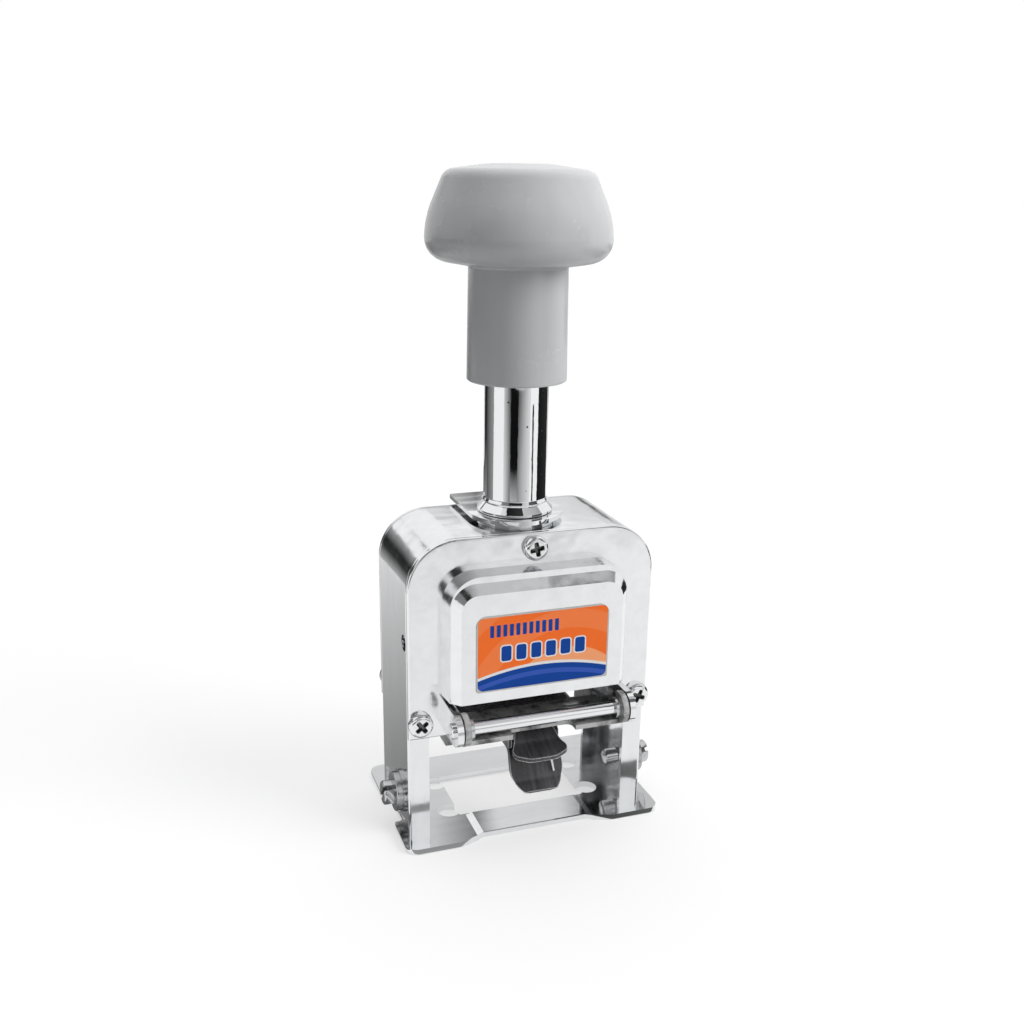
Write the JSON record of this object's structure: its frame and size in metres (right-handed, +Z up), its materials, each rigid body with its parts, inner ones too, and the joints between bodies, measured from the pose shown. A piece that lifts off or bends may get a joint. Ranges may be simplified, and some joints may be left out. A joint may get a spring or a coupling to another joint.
{
  "type": "numbering machine",
  "caption": "Hand-struck numbering machine: a sprung plunger in a chrome arch drives number wheels past a swinging ink pad onto paper through the open base.",
  "frame": {"origin": "on the underside of the base, below the middle of the housing and the plunger's axis", "axes": "+X right seen from the front, +Y to the back, +Z up along the plunger"},
  "size_m": [0.0718, 0.0487, 0.1587],
  "materials": {
    "bright_chrome": "bright chrome plate",
    "knob_grey": "glossy moulded grey",
    "brass": "turned",
    "plain_steel": "nickel-plated, satin",
    "zinc_steel": "zinc-plated sheet",
    "spring_wire": "drawn spring wire",
    "black_steel": "blackened, satin",
    "type_metal": "cast type metal, ink-stained",
    "label_foil": "printed foil",
    "dial_enamel": "black enamel with pale numerals",
    "ink_felt": "inked felt"
  },
  "bodies": {
    "frame": {"base_plate": "bright_chrome", "main_frame": "bright_chrome", "front_cover": "bright_chrome", "back_cover": "bright_chrome", "front_cover_screws": "bright_chrome", "back_cover_screws": "bright_chrome", "label_plate": "label_foil", "trip_studs": "bright_chrome", "stud_discs": "bright_chrome", "stud_washers": "bright_chrome", "stud_nuts": "plain_steel", "tube_collar": "bright_chrome", "guide_tube": "bright_chrome", "neck_nut": "plain_steel", "latch_washer": "bright_chrome", "main_spring": "spring_wire", "pad_rod": "bright_chrome", "rod_ends": "bright_chrome"},
    "latch": {"latch_plate": "bright_chrome"},
    "plunger": {"knob": "knob_grey", "knob_insert": "brass", "stem": "plain_steel", "spring_seat": "brass", "lock_collar": "plain_steel", "bridge": "plain_steel", "wheel_bracket": "plain_steel", "bridge_nut": "plain_steel", "dial_plate": "dial_enamel", "selector_rivet": "plain_steel", "detent_comb": "plain_steel", "wheel_shaft": "plain_steel", "shaft_spacers": "plain_steel", "shaft_nuts": "plain_steel"},
    "rocker": {"rocker_frame": "plain_steel", "pawl_comb": "plain_steel", "pawl_screws": "plain_steel", "drive_arm": "plain_steel", "rocker_spring": "spring_wire"},
    "selector": {"selector_lever": "zinc_steel"},
    "ink_arm": {"ink_arm": "zinc_steel", "arm_bushes": "plain_steel"},
    "pad_holder": {"pad_tray": "zinc_steel", "tray_rivets": "plain_steel", "ink_pad": "ink_felt", "grip_lower": "black_steel", "grip_pin": "plain_steel", "clip_spring": "spring_wire"},
    "upper_grip": {"grip_upper": "black_steel"},
    "wheel_1": {"number_wheel_1": "type_metal"},
    "wheel_2": {"number_wheel_2": "type_metal"},
    "wheel_3": {"number_wheel_3": "type_metal"},
    "wheel_4": {"number_wheel_4": "type_metal"},
    "wheel_5": {"number_wheel_5": "type_metal"},
    "wheel_6": {"number_wheel_6": "type_metal"}
  },
  "joints": [
    {"name": "plunger_slide", "type": "slide", "parent": "frame", "child": "plunger", "axis": [0, 0, -1], "range_m": [0, 0.028], "stiffness_N_per_m": 450, "springref_m": -0.018, "deforming": ["main_spring"]},
    {"name": "ink_arm_swing", "type": "hinge", "parent": "frame", "child": "ink_arm", "pos_m": [0, -0.0232, 0.0327], "axis": [-1, 0, 0], "range_deg": [0, 80]},
    {"name": "rocker_swing", "type": "hinge", "parent": "plunger", "child": "rocker", "pos_m": [0, 0, 0.0391], "axis": [-1, 0, 0], "range_deg": [0, 40]},
    {"name": "latch_slide", "type": "slide", "parent": "frame", "child": "latch", "axis": [0, -1, 0], "range_m": [0, 0.0024]},
    {"name": "wheel_1_turn", "type": "hinge", "parent": "plunger", "child": "wheel_1", "pos_m": [-0.0105, 0, 0.0391], "axis": [1, 0, 0], "continuous": true},
    {"name": "wheel_2_turn", "type": "hinge", "parent": "plunger", "child": "wheel_2", "pos_m": [-0.0063, 0, 0.0391], "axis": [1, 0, 0], "continuous": true},
    {"name": "wheel_3_turn", "type": "hinge", "parent": "plunger", "child": "wheel_3", "pos_m": [-0.0021, 0, 0.0391], "axis": [1, 0, 0], "continuous": true},
    {"name": "wheel_4_turn", "type": "hinge", "parent": "plunger", "child": "wheel_4", "pos_m": [0.0021, 0, 0.0391], "axis": [1, 0, 0], "continuous": true},
    {"name": "wheel_5_turn", "type": "hinge", "parent": "plunger", "child": "wheel_5", "pos_m": [0.0063, 0, 0.0391], "axis": [1, 0, 0], "continuous": true},
    {"name": "wheel_6_turn", "type": "hinge", "parent": "plunger", "child": "wheel_6", "pos_m": [0.0105, 0, 0.0391], "axis": [1, 0, 0], "continuous": true},
    {"name": "selector_turn", "type": "hinge", "parent": "plunger", "child": "selector", "pos_m": [0, 0.008, 0.0625], "axis": [0, 1, 0], "range_deg": [-40, 40]},
    {"name": "pad_pull", "type": "slide", "parent": "ink_arm", "child": "pad_holder", "axis": [0, -1, 0], "range_m": [0, 0.04]},
    {"name": "grip_pinch", "type": "hinge", "parent": "pad_holder", "child": "upper_grip", "pos_m": [0, -0.0132, 0.0249], "axis": [1, 0, 0], "range_deg": [0, 7], "stiffness_Nm_per_rad": 0.05, "springref_deg": -11.46}
  ],
  "couplings": [
    {"joint": "ink_arm_swing", "follows": "plunger_slide", "rad_per_m": 49.866},
    {"joint": "rocker_swing", "follows": "plunger_slide", "rad_per_m": 24.933}
  ]
}
